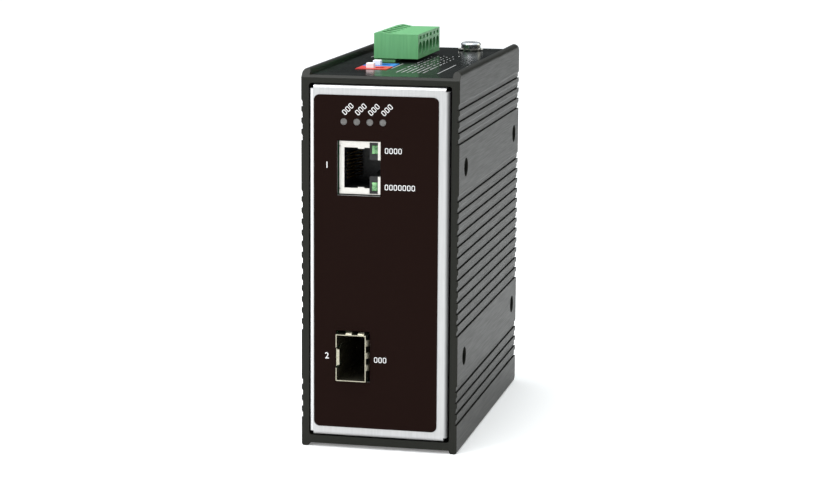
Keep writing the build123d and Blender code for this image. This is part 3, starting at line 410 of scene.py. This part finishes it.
def floor_material():
    """A plain white floor with a slight glow, so that it stays pale far away."""
    material, tree, shader = new_material(
        "floor", colour=(0.88, 0.88, 0.88), roughness=0.9, specular=0.1
    )
    shader.inputs["Emission Color"].default_value = (*white, 1.0)
    shader.inputs["Emission Strength"].default_value = floor_glow
    return material


def make_materials():
    """Every finish of the CAD nodes, by name."""
    materials = {
        "case": case_material(),
        "bright_panel": bright_panel_material(),
        "dark_film": film_material(),
        "gloss_plate": plate_material(),
        "board": board_material(),
        "green_plastic": terminal_material(),
    }
    for name, values in metals.items():
        materials[name] = metal_material(name, *values)
    for name, values in plastics.items():
        materials[name] = plastic_material(name, *values)
    for name, values in lenses.items():
        materials[name] = lens_material(name, *values)
    return materials


def finish_of(part):
    """The name of a CAD node's finish: its own, or else that of its slot."""
    for start, finish in own_finishes.items():
        if part["node"].startswith(start):
            return finish
    return part["material_slot"]


def paint_cad_nodes(materials):
    """Gives every CAD node its material."""
    for part in frame["record"]["subparts"]:
        mesh = frame["nodes"][part["node"]].data
        mesh.materials.clear()
        mesh.materials.append(materials[finish_of(part)])


# Printed marks

def add_piece(name, mesh, material):
    """A piece of one material that rides on the case."""
    mesh.materials.clear()
    mesh.materials.append(material)
    piece = bpy.data.objects.new(name, mesh)
    bpy.context.scene.collection.objects.link(piece)
    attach(piece, "chassis")


def add_mesh_piece(name, points, faces, material):
    """A piece from points and faces."""
    mesh = bpy.data.meshes.new(name)
    mesh.from_pydata(points, [], faces)
    add_piece(name, mesh, material)


def band_faces(first, loop_count, corner_count):
    """Faces that join closed loops of points in turn, from the last loop back to the first."""
    faces = []
    for loop in range(loop_count):
        near = first + loop * corner_count
        far = first + (loop + 1) % loop_count * corner_count
        for i in range(corner_count):
            after = (i + 1) % corner_count
            faces.append((near + i, near + after, far + after, far + i))
    return faces


def ring_corners(width, height):
    """Corners of an oblong about the origin in the XZ plane, with cut-off corners."""
    cut = width * ring_corner_share
    corners = []
    for side_x, side_z in ((-1, -1), (1, -1), (1, 1), (-1, 1)):
        near_side = Vector((side_x * (width / 2 - cut), 0.0, side_z * height / 2))
        near_end = Vector((side_x * width / 2, 0.0, side_z * (height / 2 - cut)))
        turned = side_x * side_z > 0
        corners += [near_end, near_side] if turned else [near_side, near_end]
    return corners


def front_rings(name, start_x, centre_z, count, turn, material):
    """A row of plain rings printed on the front film, which runs off at an angle."""
    film_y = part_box("front_overlay")[0].y
    face_y = film_y - mark_thickness
    spin = Matrix.Rotation(-math.radians(turn), 3, "Y")
    outer = ring_corners(ring_width, ring_height)
    inner = ring_corners(ring_width - 2 * ring_line, ring_height - 2 * ring_line)
    loops = ((outer, face_y), (inner, face_y), (inner, film_y), (outer, film_y))
    points = []
    faces = []
    for ring in range(count):
        along = Vector((ring * ring_step + ring_width / 2, 0.0, 0.0))
        first = len(points)
        for corners, y in loops:
            points += [Vector((start_x, y, centre_z)) + spin @ (along + corner) for corner in corners]
        faces += band_faces(first, len(loops), len(outer))
    add_mesh_piece(name, points, faces, material)


def front_number(text, centre_z, material):
    """A plain number on the front film, turned from a text object into a mesh."""
    film_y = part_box("front_overlay")[0].y
    curve = bpy.data.curves.new("number_" + text, "FONT")
    curve.body = text
    curve.size = number_height
    curve.offset = number_thickening
    curve.extrude = mark_thickness / 2
    curve.align_x = "CENTER"
    curve.align_y = "CENTER"
    letter = bpy.data.objects.new("letter_" + text, curve)
    letter.rotation_euler = (math.radians(90), 0.0, 0.0)
    letter.location = (number_x, film_y - mark_thickness / 2, centre_z)
    bpy.context.scene.collection.objects.link(letter)
    bpy.context.view_layer.update()
    graph = bpy.context.evaluated_depsgraph_get()
    mesh = bpy.data.meshes.new_from_object(letter.evaluated_get(graph))
    mesh.transform(letter.matrix_world)
    bpy.data.objects.remove(letter)
    add_piece("number_" + text, mesh, material)


def make_front_marks(material):
    """The numbers beside both sockets, and rows of plain rings where the words stand."""
    for text, z in numbers:
        front_number(text, z, material)
    for i, (x, z, count) in enumerate(socket_marks):
        front_rings(f"socket_mark_{i}", x, z, count, 0.0, material)
    low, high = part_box("status_lamps")
    lamp_size = high.z - low.z
    lamp_step = (high.x - low.x - lamp_size) / (lamp_count - 1)
    z = (low.z + high.z) / 2 + lamp_marks_rise - ring_height / 2
    for i in range(lamp_count):
        x = low.x + i * lamp_step + lamp_marks_shift
        front_rings(f"lamp_mark_{i}", x, z, lamp_ring_count, lamp_marks_turn, material)


def plate_bar(name, centre_x, start, end, width, material):
    """A thin printed bar along the top plate, from start to end behind the case's front."""
    front_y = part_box("housing")[0].y
    plate_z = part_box("top_plate")[1].z
    left = centre_x - width / 2
    right = centre_x + width / 2
    near = front_y + start
    far = front_y + end
    outline = ((left, near), (right, near), (right, far), (left, far))
    heights = (plate_z, plate_z + mark_thickness)
    points = [(x, y, z) for z in heights for x, y in outline]
    count = len(outline)
    faces = [tuple(range(count)), tuple(reversed(range(count, 2 * count)))]
    for i in range(count):
        after = (i + 1) % count
        faces.append((i, i + count, after + count, after))
    add_mesh_piece(name, points, faces, material)


def make_plate_marks(material):
    """Long lines and rows of plain dashes, which thin out towards the back."""
    for i, (x, start, end) in enumerate(plate_lines):
        plate_bar(f"plate_line_{i}", x, start, end, plate_line_width, material)
    for row in range(row_count):
        x = first_row_x + row * row_spacing
        for i in range(dash_count):
            order = (shuffle_row_step * row + shuffle_dash_step * i) % shuffle_length
            if order < shuffle_left_out * i // dash_count:
                continue
            start = first_dash_start + i * dash_step
            end = start + dash_lengths[order % len(dash_lengths)]
            plate_bar(f"plate_dash_{row}_{i}", x, start, end, dash_width, material)


# Studio

def make_floor():
    """The white floor under the object."""
    half = floor_size / 2
    corners = [(-half, -half, 0.0), (half, -half, 0.0), (half, half, 0.0), (-half, half, 0.0)]
    mesh = bpy.data.meshes.new("floor")
    mesh.from_pydata(corners, [], [(0, 1, 2, 3)])
    mesh.materials.append(floor_material())
    floor = bpy.data.objects.new("floor", mesh)
    bpy.context.scene.collection.objects.link(floor)


def make_sky():
    """Pale light from above that fades towards the horizon, as in a room with dark walls."""
    world = bpy.data.worlds.new("studio")
    world.use_nodes = True
    tree = world.node_tree
    background = tree.nodes["Background"]
    background.inputs["Color"].default_value = (*sky_colour, 1.0)
    coordinates = add_node(tree, "ShaderNodeTexCoord")
    direction = add_node(tree, "ShaderNodeSeparateXYZ")
    tree.links.new(coordinates.outputs["Generated"], direction.inputs["Vector"])
    strength = remap(
        tree, direction.outputs["Z"], sky_low_rise, sky_high_rise, sky_low_strength, sky_high_strength
    )
    tree.links.new(strength, background.inputs["Strength"])
    bpy.context.scene.world = world


def add_area_light(name, place, size, watts, colour):
    """A soft square light that points at the object's middle."""
    light = bpy.data.lights.new(name, "AREA")
    light.shape = "SQUARE"
    light.size = size
    light.energy = watts
    light.color = colour
    lamp = bpy.data.objects.new(name, light)
    lamp.location = place
    way = Vector(light_aim) - Vector(place)
    lamp.rotation_euler = way.to_track_quat("-Z", "Y").to_euler()
    bpy.context.scene.collection.objects.link(lamp)


def make_camera():
    """The camera that the photograph was matched to."""
    data = bpy.data.cameras.new("camera")
    data.sensor_fit = "HORIZONTAL"
    data.sensor_width = camera_sensor_mm
    data.lens = camera_lens_mm
    data.clip_start = camera_near
    data.clip_end = camera_far
    camera = bpy.data.objects.new("camera", data)
    turn = Matrix.Rotation(math.radians(camera_turn), 4, "Z")
    dip = Matrix.Rotation(math.radians(90.0 - camera_dip), 4, "X")
    roll = Matrix.Rotation(math.radians(camera_roll), 4, "Z")
    camera.matrix_world = Matrix.Translation(camera_place) @ turn @ dip @ roll
    bpy.context.scene.collection.objects.link(camera)
    bpy.context.scene.camera = camera


def set_look():
    """Plain colour handling, so that white stays white."""
    view = bpy.context.scene.view_settings
    view.view_transform = "Standard"
    view.look = "None"


paint_cad_nodes(make_materials())
make_front_marks(ink_material("white_ink", dark=0.74, light=0.86))
make_plate_marks(ink_material("grey_ink", dark=0.5, light=0.68))
make_floor()
make_sky()
for values in lights:
    add_area_light(*values)
make_camera()
set_look()
